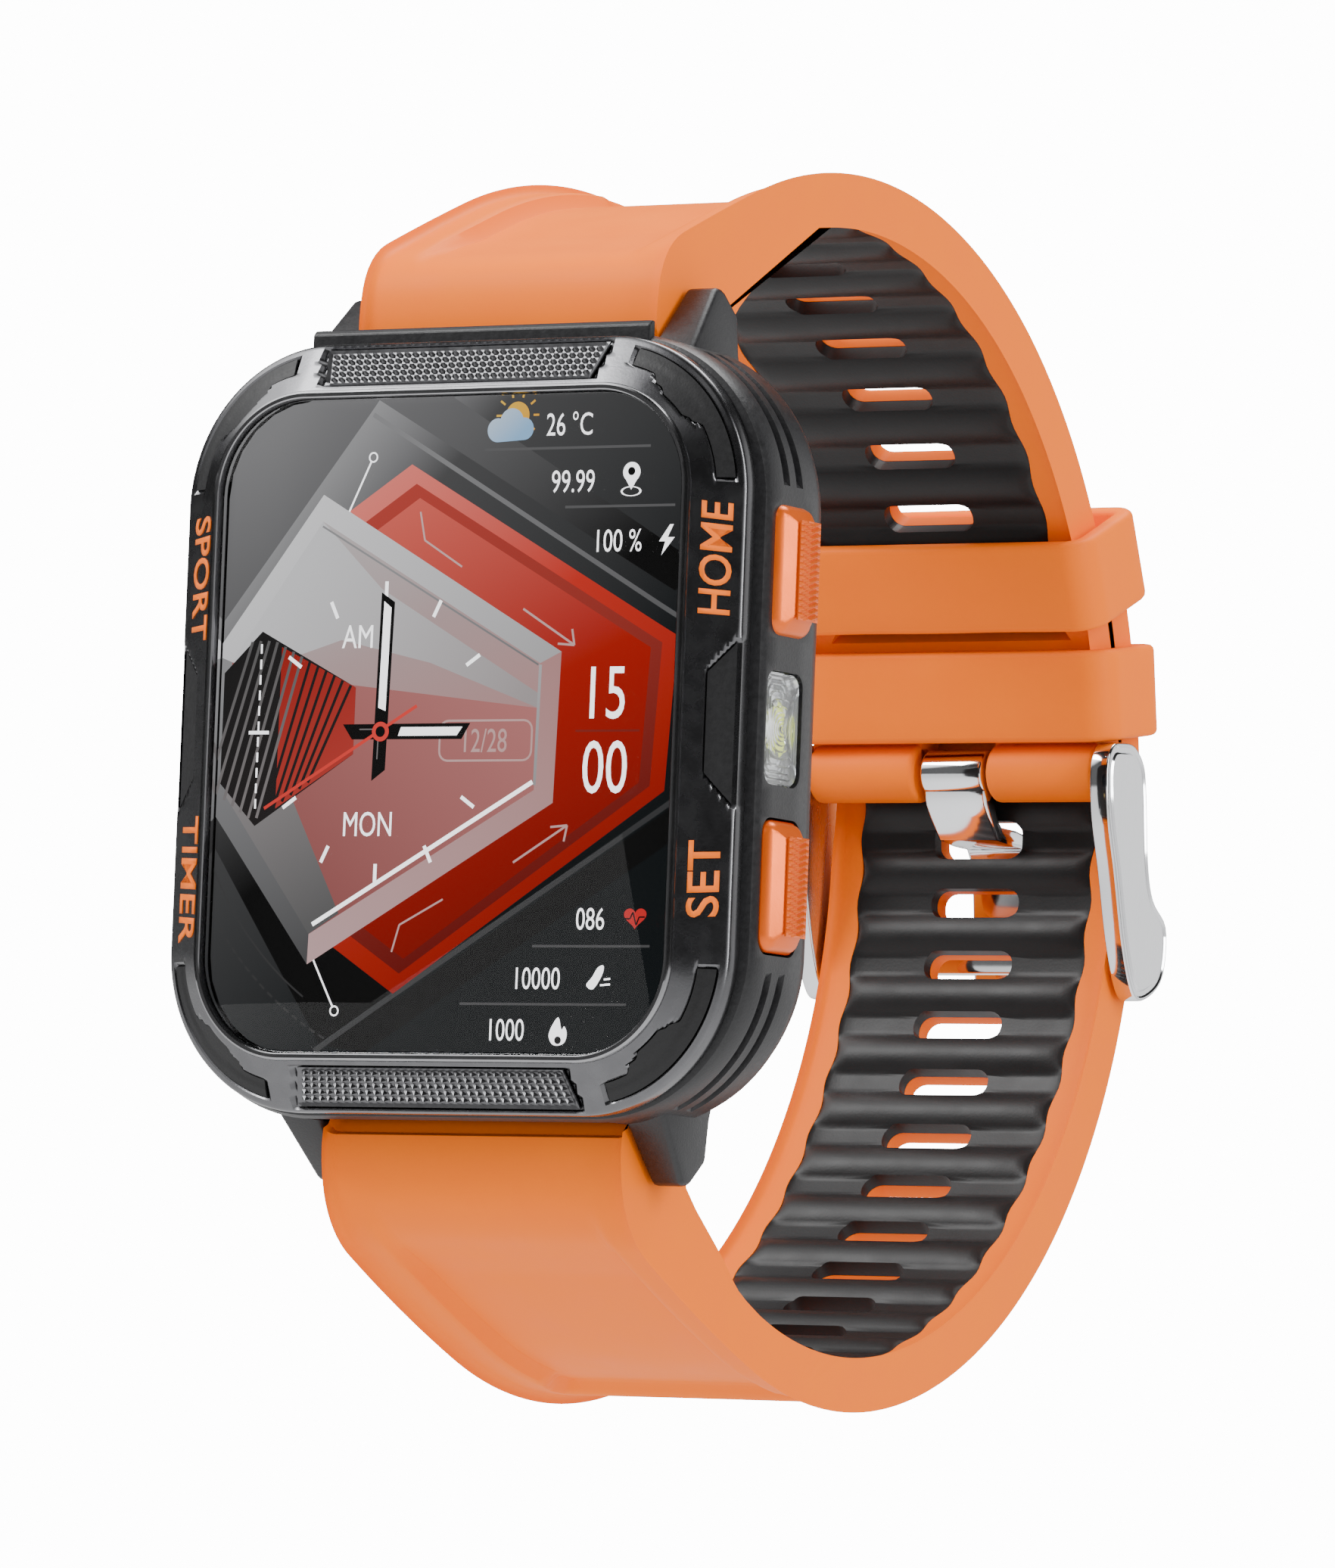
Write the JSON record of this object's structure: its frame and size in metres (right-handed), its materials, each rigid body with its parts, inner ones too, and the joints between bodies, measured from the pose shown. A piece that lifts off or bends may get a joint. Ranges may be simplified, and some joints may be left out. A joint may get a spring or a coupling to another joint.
{
  "type": "gps running watch",
  "caption": "Square rugged running watch with lugs, side buttons and a lamp, on a fastened two-piece silicone strap with keepers and a prong buckle.",
  "frame": {"origin": "centre of the wrist opening", "axes": "+Z towards 12 o'clock, the dial faces -Y, +X towards 3 o'clock and along the wrist"},
  "size_m": [0.0441, 0.0759, 0.0803],
  "materials": {
    "case_plastic": "fine-textured matt",
    "bezel_metal": "gunmetal, polished facets",
    "trim_plastic": "matt",
    "cover_glass": "polished",
    "seal": "matt",
    "display": "gloss",
    "flex": "gloss",
    "alloy": "satin",
    "board": "solder mask",
    "ceramic": "matt",
    "steel": "brushed",
    "lens": "ringed lens",
    "reflector": "mirror",
    "led": "gloss",
    "gold": "plated",
    "button_orange": "satin",
    "strap_orange": "matt silicone",
    "strap_grey": "matt silicone",
    "buckle_chrome": "polished with a satin side face"
  },
  "bodies": {
    "case": {"mid_case": "case_plastic", "bezel": "bezel_metal", "corner_inlays": "trim_plastic", "side_inlays": "trim_plastic", "grip_insert_top": "bezel_metal", "grip_insert_bottom": "bezel_metal", "front_glass": "cover_glass", "glass_gasket": "seal", "display_panel": "display", "display_flex": "flex", "inner_frame": "alloy", "main_board": "board", "battery": "alloy", "gps_antenna": "ceramic", "vibration_motor": "steel", "speaker": "trim_plastic", "microphone": "steel", "side_switches": "flex", "led_lens": "lens", "led_reflector": "reflector", "led_board": "board", "led_chip": "led", "back_cover": "case_plastic", "back_gasket": "seal", "back_screws": "steel", "sensor_window": "cover_glass", "sensor_board": "board", "charge_contacts": "gold", "spring_bar_top": "steel", "spring_bar_bottom": "steel"},
    "upper_button": {"upper_button": "button_orange"},
    "lower_button": {"lower_button": "button_orange"},
    "strap_upper": {"strap_upper_shell": "strap_orange", "strap_upper_liner": "strap_grey"},
    "strap_lower": {"strap_lower_shell": "strap_orange", "strap_lower_liner": "strap_grey"},
    "keeper_upper": {"keeper_upper": "strap_orange"},
    "keeper_lower": {"keeper_lower": "strap_orange"},
    "buckle_frame": {"buckle_frame": "buckle_chrome", "buckle_bar": "steel"},
    "prong": {"prong": "buckle_chrome"}
  },
  "joints": [
    {"name": "upper_button_press", "type": "slide", "parent": "case", "child": "upper_button", "axis": [-1, 0, 0], "range_m": [0, 0.0006], "stiffness_N_per_m": 1500},
    {"name": "lower_button_press", "type": "slide", "parent": "case", "child": "lower_button", "axis": [-1, 0, 0], "range_m": [0, 0.0006], "stiffness_N_per_m": 1500},
    {"name": "strap_upper_hinge", "type": "hinge", "parent": "case", "child": "strap_upper", "pos_m": [0, -0.0302, 0.026], "axis": [1, 0, 0], "range_deg": [0, 90]},
    {"name": "strap_lower_hinge", "type": "hinge", "parent": "case", "child": "strap_lower", "pos_m": [0, -0.0302, -0.026], "axis": [-1, 0, 0], "range_deg": [0, 90]},
    {"name": "buckle_tilt", "type": "hinge", "parent": "strap_upper", "child": "buckle_frame", "pos_m": [0, 0.02831, 0.00276], "axis": [1, 0, 0], "range_deg": [0, 5]},
    {"name": "prong_lift", "type": "hinge", "parent": "buckle_frame", "child": "prong", "pos_m": [0, 0.02831, 0.00276], "axis": [1, 0, 0], "range_deg": [0, 3]},
    {"name": "upper_keeper_slide", "type": "slide", "parent": "strap_upper", "child": "keeper_upper", "axis": [0, -0.4067, 0.9136], "range_m": [0, 0.003]},
    {"name": "lower_keeper_slide", "type": "slide", "parent": "strap_upper", "child": "keeper_lower", "axis": [0, -0.1564, 0.9877], "range_m": [0, 0.0008]}
  ]
}
